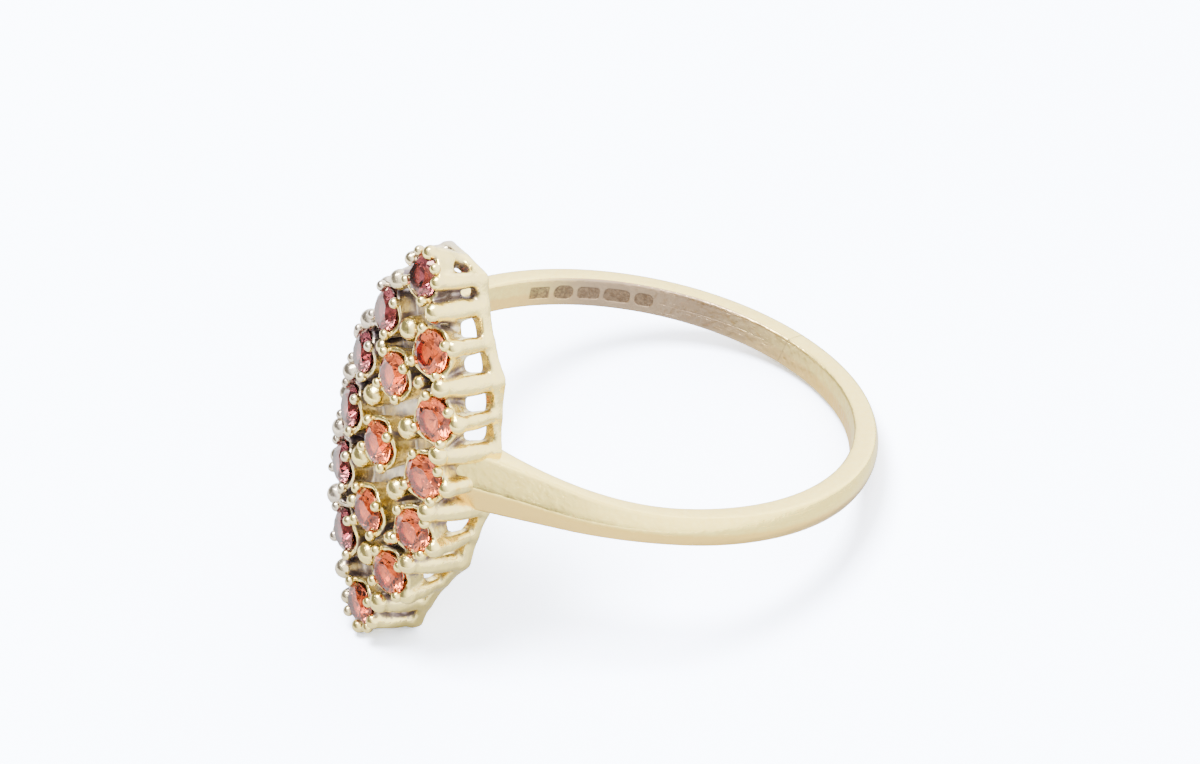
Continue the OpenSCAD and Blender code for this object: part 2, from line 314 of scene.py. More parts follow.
def cast_head(step):
    """Field of the rail, claws, deck, cups and bosses, with the seats and light holes cut."""
    f = Field((8.2, -4.5, -8.9), (12.0, 4.5, 8.9), step)
    mid_r = SADDLE_R + RAIL_T / 2
    feet = np.array([foot(c) for c in CLAWS])
    cup_r = STONE_R + SEAT_GAP + CUP_WALL

    def rail(g):
        x, y, z = g[..., 0], g[..., 1], g[..., 2]
        near = np.min([np.hypot(y - p[0], z - p[1]) for p in feet], axis=0)
        slim = np.clip((near - 0.4) / 0.5, 0, 1)
        waist = RAIL_WAIST * slim * slim * (3 - 2 * slim)
        across = np.abs(polygon_distance(RAIL_LINE, y, z)) - RAIL_W / 2 + waist
        return rounded(across, np.abs(np.hypot(x, y) - mid_r) - RAIL_T / 2, 0.12)

    def deck(g):
        x, y, z = g[..., 0], g[..., 1], g[..., 2]
        mid = DECK_X + DECK_T / 2 + 0.2 * (girdle_x(y, z) - 10.8)
        return rounded(polygon_distance(DECK_LINE, y, z), np.abs(x - mid) - DECK_T / 2, 0.15)

    f.add(rail, (8.2, -4.3, -8.5), (9.2, 4.3, 8.5), SOFT_RAIL)
    f.add(deck, (9.4, -3.4, -7.6), (10.2, 3.4, 7.6), SOFT_RAIL)

    for p in STONES:
        deep = (girdle_x(*p) - DECK_X - DECK_T / 2) / outward(*p)[0]

        def cup(up, rad, angle, deep=deep):
            rim = -RIM_DROP - RIM_WAVE * np.cos(4 * angle)
            wall = (rad - cup_r * (1 + CUP_TAPER * np.minimum(up, 0) / deep)) * 0.97
            return np.maximum(rounded(wall, up - rim, RIM_R), -deep - up)

        f.add(*turned(p, cup, deep), SOFT_CUP)

    for p, d in [(p, BOSS_D) for p in BOSSES] + [(p, 0.6 * BOSS_D) for p in PIPS]:
        f.add(*prong((DECK_X + 0.2, *p), at_girdle(p, -0.35 * d), 0.5 * d, 0.45 * d), SOFT_CUP)
        f.add(*bead(at_girdle(p, -0.33 * d), 0.48 * d), SOFT_TOP)

    for claw in CLAWS:
        base, top, r = foot(claw), claw.top, claw.radius * rng.uniform(0.96, 1.0)
        low = (math.sqrt(mid_r ** 2 - base[0] ** 2), *base)
        f.add(*prong(low, at_girdle(top), r * CLAW_FOOT, r * 0.85, CLAW_BELLY * r), SOFT_CLAW)
        f.add(*bead(at_girdle(top, 0.02), r * 0.98, 0.92, outward(*top)), SOFT_TOP)

    for leg, p in LOBES:
        place = p + (cup_r - CUP_WALL / 2) * (leg - p) / np.linalg.norm(leg - p)
        low = (math.sqrt(mid_r ** 2 - leg[0] ** 2), *leg)
        high = np.array([(DECK_X + DECK_T / 2 + girdle_x(*p)) / 2, *place])
        f.add(*prong(low, high, LOBE_R * LOBE_LEG, LOBE_R * 0.9, LOBE_BELLY * LOBE_R), SOFT_CLAW)
        f.add(*bead(high, LOBE_R, 1.2), SOFT_LOBE)

    def saddle(g):
        return np.hypot(g[..., 0], g[..., 1]) - SADDLE_R

    f.cut(saddle, (8.2, -4.5, -8.9), (8.8, 4.5, 8.9), SOFT_RAIL)

    def seat(up, rad, angle):
        r, half_girdle, table, hole_top = STONE_R + 0.012, 0.045, 0.29, -0.3

        def cone(height, lean):
            return (height - half_girdle) * math.cos(lean) + (rad - r) * math.sin(lean)

        crown, pavilion = cone(up, CROWN_LEAN), cone(-up, PAVILION_LEAN)
        stone = np.maximum(np.maximum(crown, pavilion), np.maximum(rad - r, up - table))
        return np.minimum(stone, np.maximum(rad - LIGHT_HOLE_R, up - hole_top))

    for p in STONES:
        f.cut(*turned(p, seat, 3), SOFT_CUT)
    return f


def surface_net(field):
    """Vertices and quads of the field's zero surface, one vertex in each crossed cell."""
    d, n = field.d, field.count - 1
    inside = d < 0

    def corner(a, c):
        return a[c[0]:c[0] + n[0], c[1]:c[1] + n[1], c[2]:c[2] + n[2]]

    total = np.zeros(tuple(n) + (3,))
    hits = np.zeros(tuple(n))
    corners = [(i, j, k) for i in (0, 1) for j in (0, 1) for k in (0, 1)]
    edges = [(a, b) for a in corners for b in corners
             if sum(b) - sum(a) == 1 and all(q >= p for p, q in zip(a, b))]
    for a, b in edges:
        da, db = corner(d, a), corner(d, b)
        crossed = (da < 0) != (db < 0)
        t = np.where(crossed, da / np.where(crossed, da - db, 1), 0)
        spot = np.array(a, float) + t[..., None] * (np.array(b) - np.array(a))
        total += np.where(crossed[..., None], spot, 0)
        hits += crossed
    cells = np.argwhere(hits > 0)
    index = np.full(tuple(n), -1)
    index[tuple(cells.T)] = np.arange(len(cells))
    middle = total[tuple(cells.T)] / hits[tuple(cells.T)][:, None]
    verts = field.low + (cells + middle) * field.step
    quads = []
    for axis in range(3):
        u, v = [(1, 2), (2, 0), (0, 1)][axis]
        lower, upper = [slice(None)] * 3, [slice(None)] * 3
        lower[axis], upper[axis] = slice(0, -1), slice(1, None)
        change = inside[tuple(lower)].astype(int) - inside[tuple(upper)].astype(int)
        at = np.argwhere(change != 0)
        at = at[(at[:, u] > 0) & (at[:, v] > 0) & (at[:, u] < n[u]) & (at[:, v] < n[v])]
        sign = change[tuple(at.T)]
        loop = []
        for du, dv in ((-1, -1), (0, -1), (0, 0), (-1, 0)):
            cell = at.copy()
            cell[:, u] += du
            cell[:, v] += dv
            loop.append(index[tuple(cell.T)])
        loop = np.stack(loop, axis=1)
        quads.append(np.where(sign[:, None] > 0, loop, loop[:, ::-1]))
    return verts, np.concatenate(quads)


def settled(field, verts, rounds=2):
    """The vertices, moved along the field's slope onto its zero surface."""
    slope = np.stack(np.gradient(field.d, field.step), axis=-1)
    for _ in range(rounds):
        g = field.sample(slope, verts)
        size = np.maximum((g ** 2).sum(axis=1), 0.05)
        move = -(field.sample(field.d, verts) / size)[:, None] * g
        length = np.linalg.norm(move, axis=1, keepdims=True)
        verts = verts + move * np.minimum(1, 0.4 * field.step / np.maximum(length, 1e-9))
    return verts


# Meshes

def new_object(name, data):
    ob = bpy.data.objects.new(name, data)
    bpy.context.collection.objects.link(ob)
    return ob


def mesh_object(name, verts, faces, material, smooth=True):
    """Object of the row frame from vertices of the ring's frame, in mm."""
    me = bpy.data.meshes.new(name)
    me.from_pydata(to_row(verts).tolist(), [], [list(map(int, f)) for f in faces])
    me.polygons.foreach_set("use_smooth", [smooth] * len(me.polygons))
    me.update()
    me.materials.append(material)
    return new_object(name, me)


def baked_modifier(ob, mod):
    """Puts the result of the object's modifier in its mesh and removes the modifier."""
    deps = bpy.context.evaluated_depsgraph_get()
    fresh = bpy.data.meshes.new_from_object(ob.evaluated_get(deps))
    ob.modifiers.remove(mod)
    old = ob.data
    ob.data = fresh
    bpy.data.meshes.remove(old)
    fresh.name = ob.name


def closed(ob, near):
    """Merges the mesh's doubles, fills its open ends and points its faces outwards."""
    bm = bmesh.new()
    bm.from_mesh(ob.data)
    bmesh.ops.remove_doubles(bm, verts=bm.verts, dist=near)
    bmesh.ops.holes_fill(bm, edges=[e for e in bm.edges if e.is_boundary])
    bmesh.ops.recalc_face_normals(bm, faces=bm.faces)
    bm.to_mesh(ob.data)
    bm.free()


# Formulas as nodes

class Term:
    """A number that a node tree works out, for writing formulas with it."""

    def __init__(self, tree, socket):
        self.tree, self.socket = tree, socket

    def of(self, kind, *values):
        node = self.tree.nodes.new("ShaderNodeMath")
        node.operation = kind
        for slot, value in zip(node.inputs, values):
            if isinstance(value, Term):
                self.tree.links.new(value.socket, slot)
            else:
                slot.default_value = value
        return Term(self.tree, node.outputs[0])

    def __add__(self, v): return self.of("ADD", self, v)
    def __radd__(self, v): return self.of("ADD", v, self)
    def __sub__(self, v): return self.of("SUBTRACT", self, v)
    def __rsub__(self, v): return self.of("SUBTRACT", v, self)
    def __mul__(self, v): return self.of("MULTIPLY", self, v)
    def __rmul__(self, v): return self.of("MULTIPLY", v, self)
    def __truediv__(self, v): return self.of("DIVIDE", self, v)
    def __pow__(self, v): return self.of("POWER", self, v)
    def __abs__(self): return self.of("ABSOLUTE", self)
    def sqrt(self): return self.of("SQRT", self)
    def sin(self): return self.of("SINE", self)
    def cos(self): return self.of("COSINE", self)
    def acos(self): return self.of("ARCCOSINE", self)
    def above(self, v): return self.of("GREATER_THAN", self, v)
    def least(self, v): return self.of("MINIMUM", self, v)
    def most(self, v): return self.of("MAXIMUM", self, v)
    def angle_to(self, x): return self.of("ARCTAN2", self, x)

    def step(self, low, high):
        """0 under low and 1 over high, with a soft step between."""
        node = self.tree.nodes.new("ShaderNodeMapRange")
        node.interpolation_type = "SMOOTHSTEP"
        self.tree.links.new(self.socket, node.inputs["Value"])
        node.inputs["From Min"].default_value, node.inputs["From Max"].default_value = low, high
        return Term(self.tree, node.outputs["Result"])

    def feeds(self, slot):
        self.tree.links.new(self.socket, slot)


def mixed(a, b, share):
    return a + (b - a) * share


def weighed(terms, shares):
    """Sum of terms, each times its share."""
    total = terms[0] * float(shares[0])
    for term, share in zip(terms[1:], shares[1:]):
        total = total + term * float(share)
    return total


def given(node, **values):
    """Sets a node's inputs by name, with _ for a space."""
    for name, value in values.items():
        node.inputs[name.replace("_", " ")].default_value = value
    return node


def in_line(tree, *nodes):
    """Links each node's first output to the next one's first input."""
    for a, b in zip(nodes[:-1], nodes[1:]):
        tree.links.new(a.outputs[0], b.inputs[0])


def geometry_nodes(tree, *kinds):
    return [tree.nodes.new("GeometryNode" + kind) for kind in kinds]


def inputs_of(tree, **sizes):
    """Adds named number inputs to a tree's interface."""
    for name, value in sizes.items():
        plain = name.replace("_", " ")
        slot = tree.interface.new_socket(plain, in_out="INPUT", socket_type="NodeSocketFloat")
        slot.default_value = value


def outputs_of(tree, *names):
    for name in names:
        tree.interface.new_socket(name, in_out="OUTPUT", socket_type="NodeSocketFloat")


# Materials

def vector_of(tree, x, y, z):
    node = tree.nodes.new("ShaderNodeCombineXYZ")
    for slot, value in zip(node.inputs, (x, y, z)):
        value.feeds(slot)
    return node.outputs[0]


def noise(tree, place, scale, detail, rough=0.55):
    node = given(tree.nodes.new("ShaderNodeTexNoise"), Scale=scale, Detail=detail, Roughness=rough)
    tree.links.new(place, node.inputs["Vector"])
    return Term(tree, node.outputs["Fac"])


def ring_place_group():
    """Shader group: the ring frame's x, y, z in mm, the angle from the head and the radius."""
    tree = bpy.data.node_groups.new("ring place", "ShaderNodeTree")
    tree.interface.new_socket("Place", in_out="INPUT", socket_type="NodeSocketVector")
    outputs_of(tree, "x", "y", "z", "Angle", "Radius")
    inside, out = tree.nodes.new("NodeGroupInput"), tree.nodes.new("NodeGroupOutput")
    split = tree.nodes.new("ShaderNodeSeparateXYZ")
    tree.links.new(inside.outputs[0], split.inputs[0])
    row = [Term(tree, s) * 1000 for s in split.outputs]
    x, y, z = (weighed(row, TO_ROW[:, i]) for i in range(3))
    angle, radius = y.angle_to(x), (x * x + y * y).sqrt()
    for name, term in (("x", x), ("y", y), ("z", z), ("Angle", angle), ("Radius", radius)):
        term.feeds(out.inputs[name])
    return tree


def polish_group():
    """Shader group: hairline scratches along the first axis of Place, dents and a soft mottle."""
    tree = bpy.data.node_groups.new("worn polish", "ShaderNodeTree")
    tree.interface.new_socket("Place", in_out="INPUT", socket_type="NodeSocketVector")
    inputs_of(tree, Scratches=1.0, Dents=1.0)
    outputs_of(tree, "Height", "Mottle")
    inside, out = tree.nodes.new("NodeGroupInput"), tree.nodes.new("NodeGroupOutput")
    place = inside.outputs[0]
    stretched = tree.nodes.new("ShaderNodeVectorMath")
    stretched.operation = "MULTIPLY"
    stretched.inputs[1].default_value = (0.7, 30, 30)
    tree.links.new(place, stretched.inputs[0])
    hair = noise(tree, stretched.outputs[0], 1.0, 3, 0.6).step(0.6, 0.72)
    dents = noise(tree, place, 2.6, 2).step(0.35, 0.7)
    grain = noise(tree, place, 34, 2)
    raised = dents * Term(tree, inside.outputs["Dents"]) + grain * 0.12
    scored = hair * Term(tree, inside.outputs["Scratches"]) * 0.35
    (raised - scored).feeds(out.inputs["Height"])
    noise(tree, place, 5.5, 5, 0.68).step(0.25, 0.75).feeds(out.inputs["Mottle"])
    return tree


def group_node(tree, group, **values):
    node = tree.nodes.new("ShaderNodeGroup")
    node.node_tree = group
    return given(node, **values)


def new_material(name):
    """A material, its node tree and its shader."""
    m = bpy.data.materials.new(name)
    m.use_nodes = True
    tree = m.node_tree
    return m, tree, tree.nodes["Principled BSDF"]


def colour_mix(tree, share, a, b):
    """Colour between a and b; each is an RGB triple or a socket."""
    node = tree.nodes.new("ShaderNodeMix")
    node.data_type = "RGBA"
    share.feeds(node.inputs["Factor"])
    for slot, value in zip((node.inputs[6], node.inputs[7]), (a, b)):
        if isinstance(value, tuple):
            slot.default_value = (*value, 1)
        else:
            tree.links.new(value, slot)
    return node.outputs[2]


def coloured(tree, shader, colour):
    tree.links.new(colour, shader.inputs["Base Color"])


def bumped(tree, shader, height):
    """Feeds a height, of which 1 is the depth of a dent, to the shader's normal."""
    node = given(tree.nodes.new("ShaderNodeBump"), Distance=DENT_DEPTH)
    height.feeds(node.inputs["Height"])
    tree.links.new(node.outputs["Normal"], shader.inputs["Normal"])


RING_PLACE = ring_place_group()
POLISH = polish_group()
DENT_DEPTH = 0.000012
# The band's lower-flank colour and both bore colours are partly painted shade
PALE, LOWER_FLANK_SHADE, SATIN_AND_SHADE = (0.92, 0.76, 0.23), (0.84, 0.56, 0.14), (0.5, 0.36, 0.19)
BORE_SHADE, GRIME = (0.32, 0.23, 0.15), (0.12, 0.08, 0.05)
CAST_PALE, CAST_DULL, GRIME_AND_HOLLOW_SHADE = (0.89, 0.72, 0.22), (0.64, 0.5, 0.26), (0.16, 0.12, 0.15)
# The purple-grey colour is painted shade for the head's far side
FROSTED, FAR_SIDE_SHADE = (0.82, 0.76, 0.7), (0.47, 0.42, 0.47)
# The plum colour is painted shade on the garnets
ORANGE_RED, RED, PLUM_SHADE = (0.68, 0.125, 0.035), (0.53, 0.075, 0.022), (0.17, 0.038, 0.062)
WHITE_CARD, WHITER_CARD = (1.62, 1.77, 2.15), (1.67, 1.82, 2.2)
NEAR_CARD_SHADOW, FAR_CARD = (0.36, 0.37, 0.38), (0.78, 0.79, 0.8)

# Places on the bore, in mm along the finger hole's wall from the head
SEAM_AT, SCRATCH_AT, SATIN_SHADE_AT, BORE_SHADE_AT = -24.6, -21.9, -20, -18.8

# Blank punch marks in the bore: middle, half length, half height, corner
MARKS = ((-14.45, 0.4, 0.25, 0.05), (-15.45, 0.38, 0.29, 0.26), (-16.45, 0.42, 0.25, 0.14),
         (-17.55, 0.5, 0.27, 0.2), (-18.6, 0.36, 0.27, 0.24))


def placed(tree):
    """Terms for the ring frame's coordinates in a material."""
    coords = tree.nodes.new("ShaderNodeTexCoord")
    node = group_node(tree, RING_PLACE)
    tree.links.new(coords.outputs["Object"], node.inputs["Place"])
    return {s.name: Term(tree, s) for s in node.outputs}


def far_side(at):
    """Distance across the head, lessened towards both ends: under 0 on the far side, where painted
    shade goes.
    """
    return at["y"] - 0.2 * abs(at["z"])


def shank_gold():
    """Polished band, with painted shade on its lower flank. Its bore is satin, darkened by painted
    shade along one stretch, with a solder seam, a scratch and blank punch marks.
    """
    m, tree, shader = new_material("shank_gold")
    at = placed(tree)
    arc = at["Angle"] * FINGER_R
    polish = group_node(tree, POLISH, Scratches=1.0, Dents=0.9)
    tree.links.new(vector_of(tree, arc, at["Radius"], at["z"]), polish.inputs["Place"])
    height, mottle = (Term(tree, s) for s in polish.outputs)
    bore = 1 - at["Radius"].step(FINGER_R + 0.03, FINGER_R + 0.12)

    marks = None
    for middle, long, high, corner in MARKS:
        a = (abs(arc - middle) - (long - corner)).most(0)
        b = (abs(at["z"]) - (high - corner)).most(0)
        mark = 1 - (a * a + b * b).sqrt().step(corner - 0.03, corner + 0.03)
        marks = mark if marks is None else marks.most(mark)
    marks = marks * bore
    seam = (1 - abs(arc - SEAM_AT + at["z"] * 0.25).step(0.015, 0.05)) * 0.6
    line = 1 - abs(at["z"] + 0.06 + (arc + 19.6) * 0.024).step(0.006, 0.028)
    scratch = line * (1 - abs(arc - SCRATCH_AT).step(1.6, 2.5)) * bore
    worn = noise(tree, vector_of(tree, arc, at["Radius"], at["z"]), 9, 3).step(0.35, 0.65)

    # The bore is satin, and painted shade darkens it most along one stretch beside the marks;
    # painted shade also makes the lower flank a warmer, darker gold
    satin_and_shade = bore * (0.75 + 0.25 * mottle) * (1 - 0.85 * abs(arc - SATIN_SHADE_AT).step(2.5, 7.5))
    # Painted shade: a darker spot in the bore beside the marks
    bore_shade = bore * (1 - abs(arc - BORE_SHADE_AT).step(1.8, 5.5))
    # Painted shade: the lower flank is mixed towards a darker, warmer gold, along with a random
    # mottle
    mottle_and_flank_shade = (mottle * 0.5 + 0.85 * (1 - at["z"].step(-0.15, 0.08))).least(1)
    outside = colour_mix(tree, mottle_and_flank_shade, PALE, LOWER_FLANK_SHADE)
    tone = colour_mix(tree, bore_shade, colour_mix(tree, satin_and_shade, outside, SATIN_AND_SHADE), BORE_SHADE)
    dark = (marks * (0.6 + 0.3 * worn) + seam * 0.45 + scratch * 0.4).least(1)
    coloured(tree, shader, colour_mix(tree, dark, tone, GRIME))
    given(shader, Metallic=1)
    (0.13 + 0.09 * mottle + bore * 0.17 + marks * 0.2).feeds(shader.inputs["Roughness"])
    relief = height * (0.6 + bore * 1.2) - marks * 3.2 + marks * worn * 1.4
    bumped(tree, shader, relief - seam * 1.2 - scratch)
    return m


def head_gold():
    """Cast gold, bright where it is rubbed and dull in the recesses with old grime and painted
    shade.
    """
    m, tree, shader = new_material("head_gold")
    at = placed(tree)
    place = vector_of(tree, at["z"], at["y"], at["x"])
    polish = group_node(tree, POLISH, Scratches=0.5, Dents=1.0)
    tree.links.new(place, polish.inputs["Place"])
    height, mottle = (Term(tree, s) for s in polish.outputs)
    deep = tree.nodes.new("ShaderNodeAttribute")
    deep.attribute_name = "recess"
    # The recess share measures how closed in the metal is; its darkening is grime and painted
    # shade
    recess = (Term(tree, deep.outputs["Fac"]) + 0.25 * (mottle - 0.5)).step(0.15, 0.6)
    # The deck between the cups is frosted, and painted shade makes the far side of the head
    # purple-grey
    inner = 1 - ((at["y"] / 3.0) ** 2 + (at["z"] / 8.3) ** 2).step(0.55, 0.95)
    deck = inner * at["x"].step(9.6, 9.9) * (1 - at["x"].step(10.1, 10.5)) * (0.6 + 0.4 * mottle)
    tone = colour_mix(tree, mottle * 0.6, CAST_PALE, CAST_DULL)
    side = (1 - far_side(at).step(-3.0, -1.2)) * 0.65
    tone = colour_mix(tree, side, colour_mix(tree, deck, tone, FROSTED), FAR_SIDE_SHADE)
    coloured(tree, shader, colour_mix(tree, recess * (0.92 - 0.45 * deck), tone, GRIME_AND_HOLLOW_SHADE))
    given(shader, Metallic=1)
    (0.14 + 0.1 * mottle + 0.3 * recess.most(deck)).feeds(shader.inputs["Roughness"])
    bumped(tree, shader, height)
    return m


def garnet_stone():
    """Transparent stone with a worn polish, orange-red, with painted plum shade on one side and at
    one end.
    """
    m, tree, shader = new_material("garnet_stone")
    at = placed(tree)
    place = vector_of(tree, at["z"], at["y"], at["x"])
    zone = noise(tree, place, 0.7, 2).step(0.3, 0.7)
    rub = noise(tree, place, 9, 3).step(0.5, 0.8)
    # Painted shade: plum on the far side of the head and towards one end
    deep = (1 - far_side(at).step(-2.2, -0.6)).most(at["z"].step(5.6, 6.6)) * 0.85
    coloured(tree, shader, colour_mix(tree, deep, colour_mix(tree, zone, RED, ORANGE_RED), PLUM_SHADE))
    (0.012 + 0.03 * rub).feeds(shader.inputs["Roughness"])
    given(shader, IOR=1.76, Transmission_Weight=1.0, Specular_IOR_Level=0.17,
          Specular_Tint=(1, 0.54, 0.46, 1))
    return m


def pale_floor():
    """Matt white card, which metal and stones see dimmer than the eye does, most near the ring,
    where it is a painted shadow.
    """
    m, tree, shader = new_material("pale_floor")
    coords, path = tree.nodes.new("ShaderNodeTexCoord"), tree.nodes.new("ShaderNodeLightPath")
    tone = noise(tree, coords.outputs["Object"], 25, 3).step(0.3, 0.7)
    card = colour_mix(tree, tone, WHITE_CARD, WHITER_CARD)
    split = tree.nodes.new("ShaderNodeSeparateXYZ")
    tree.links.new(coords.outputs["Object"], split.inputs[0])
    x, y = Term(tree, split.outputs[0]), Term(tree, split.outputs[1])
    # Painted shadow: the card that metal and stones see is darker near the ring
    dim_and_shadowed = colour_mix(tree, (x * x + y * y).sqrt().step(0.016, 0.075), NEAR_CARD_SHADOW, FAR_CARD)
    coloured(tree, shader, colour_mix(tree, Term(tree, path.outputs["Is Camera Ray"]), dim_and_shadowed, card))
    given(shader, Roughness=0.75)
    return m


SHANK_GOLD, HEAD_GOLD, GARNET, FLOOR = shank_gold(), head_gold(), garnet_stone(), pale_floor()


# Head: one casting, with the grains and rounded tops as beads of their own

def recess_of(field, points, normals):
    """How closed in the metal stands at each point, from 0 in the open to 1."""
    reaches = (0.12, 0.24, 0.4)
    free = [np.clip(field.sample(field.d, points + h * normals) / h, 0, 1) for h in reaches]
    return 1 - np.mean(free, axis=0)


TRIANGLES = 195000
GRID, QUICK_GRID = 0.062, 0.1
field = cast_head(GRID)
verts, quads = surface_net(field)
head = mesh_object("cluster_head", settled(field, verts), quads, HEAD_GOLD)
if 2 * len(quads) > TRIANGLES:
    thin = head.modifiers.new("thinner", "DECIMATE")
    thin.ratio = TRIANGLES / (2 * len(quads))
    baked_modifier(head, thin)
n = len(head.data.vertices)
places, normals = np.empty(3 * n), np.empty(3 * n)
head.data.vertices.foreach_get("co", places)
head.data.vertices.foreach_get("normal", normals)
# How closed in each vertex stands, which the head's material turns into grime and painted shade
recess = recess_of(field, places.reshape(-1, 3) @ TO_ROW / MM, normals.reshape(-1, 3) @ TO_ROW)
recess_slot = head.data.attributes.new("recess", "FLOAT", "POINT")
recess_slot.data.foreach_set("value", recess.astype(np.float32))


def beads_tree():
    """Geometry Nodes: a bead on each point, of the size that the point holds."""
    tree = bpy.data.node_groups.new("beads on points", "GeometryNodeTree")
    tree.interface.new_socket("Points", in_out="INPUT", socket_type="NodeSocketGeometry")
    inputs_of(tree, Unevenness=0.06)
    seed = tree.interface.new_socket("Seed", in_out="INPUT", socket_type="NodeSocketInt")
    seed.default_value = 3
    tree.interface.new_socket("Beads", in_out="OUTPUT", socket_type="NodeSocketGeometry")
    new, link = tree.nodes.new, tree.links.new
    inside, out = new("NodeGroupInput"), new("NodeGroupOutput")
    ball, put, real, smooth, paint, size = geometry_nodes(
        tree, "MeshUVSphere", "InstanceOnPoints", "RealizeInstances", "SetShadeSmooth",
        "SetMaterial", "InputNamedAttribute")
    given(ball, Segments=24, Rings=14, Radius=1)
    size.data_type = "FLOAT"
    given(size, Name="bead_r")
    uneven = new("FunctionNodeRandomValue")
    uneven.data_type = "FLOAT_VECTOR"
    give = Term(tree, inside.outputs["Unevenness"])
    for slot, term in ((uneven.inputs[0], 1 - give), (uneven.inputs[1], 1 + give)):
        term.feeds(slot)
    link(inside.outputs["Seed"], uneven.inputs["Seed"])
    scale = new("ShaderNodeVectorMath")
    scale.operation = "SCALE"
    link(uneven.outputs["Value"], scale.inputs[0])
    link(size.outputs["Attribute"], scale.inputs["Scale"])
    link(inside.outputs["Points"], put.inputs["Points"])
    link(ball.outputs["Mesh"], put.inputs["Instance"])
    link(scale.outputs["Vector"], put.inputs["Scale"])
    given(paint, Material=HEAD_GOLD)
    in_line(tree, put, real, smooth, paint, out)
    return tree


spots = []
for p in STONES:
    east, north, way = stone_axes(p)
    for a in np.radians((45, 135, 225, 315)) + rng.normal(0, 0.08, 4):
        around = math.cos(a) * east + math.sin(a) * north
        spots.append((at_girdle(p, 0.1) + (STONE_R + SEAT_GAP + 0.06) * around, 0.47 * GRAIN_D))
for claw in CLAWS:
    spots.append((at_girdle(claw.top, 0.03), 0.96 * claw.radius))
spots += [(at_girdle(p, -0.3 * BOSS_D), 0.48 * BOSS_D) for p in BOSSES]
spots += [(at_girdle(p, -0.18 * BOSS_D), 0.29 * BOSS_D) for p in PIPS]
beads = mesh_object("grains_and_beads", [place for place, _ in spots], [], HEAD_GOLD)
bead_r = beads.data.attributes.new("bead_r", "FLOAT", "POINT")
bead_r.data.foreach_set("value", np.array([r * MM for _, r in spots], np.float32))
set_beads = beads.modifiers.new("beads", "NODES")
set_beads.node_group = beads_tree()
baked_modifier(beads, set_beads)


# Shank: one band from shoulder to shoulder, ridged at the head and rounded at the back

ROUND_THE_BAND = 441


def section_points():
    """The band's closed section as pairs: share across its width, share from bore to outside."""
    bore = [(s, 0.0) for s in np.linspace(-0.86, 0.86, 13)]
    rise = [(0.94, 0.035), (0.985, 0.1), (1.0, 0.2), (1.0, 0.5), (1.0, 0.8), (0.988, 0.91),
            (0.96, 0.975)]
    even = np.linspace(1, -1, 37)
    top = [(s, 1.0) for s in 0.92 * np.sign(even) * abs(even) ** 1.2]
    loop = bore + rise + top + [(-s, o) for s, o in rise[::-1]]
    return loop + loop[:1]


def drawn(tree, value, points):
    """Float curve through evenly spaced heights from 0 to 1."""
    node = tree.nodes.new("ShaderNodeFloatCurve")
    curve = node.mapping.curves[0]
    last = len(points) - 1
    curve.points[0].location, curve.points[1].location = (0, points[0]), (1, points[last])
    for i in range(1, last):
        curve.points.new(i / last, points[i])
    for point in curve.points:
        point.handle_type = "VECTOR"
    node.mapping.update()
    value.feeds(node.inputs["Value"])
    return Term(tree, node.outputs["Value"])


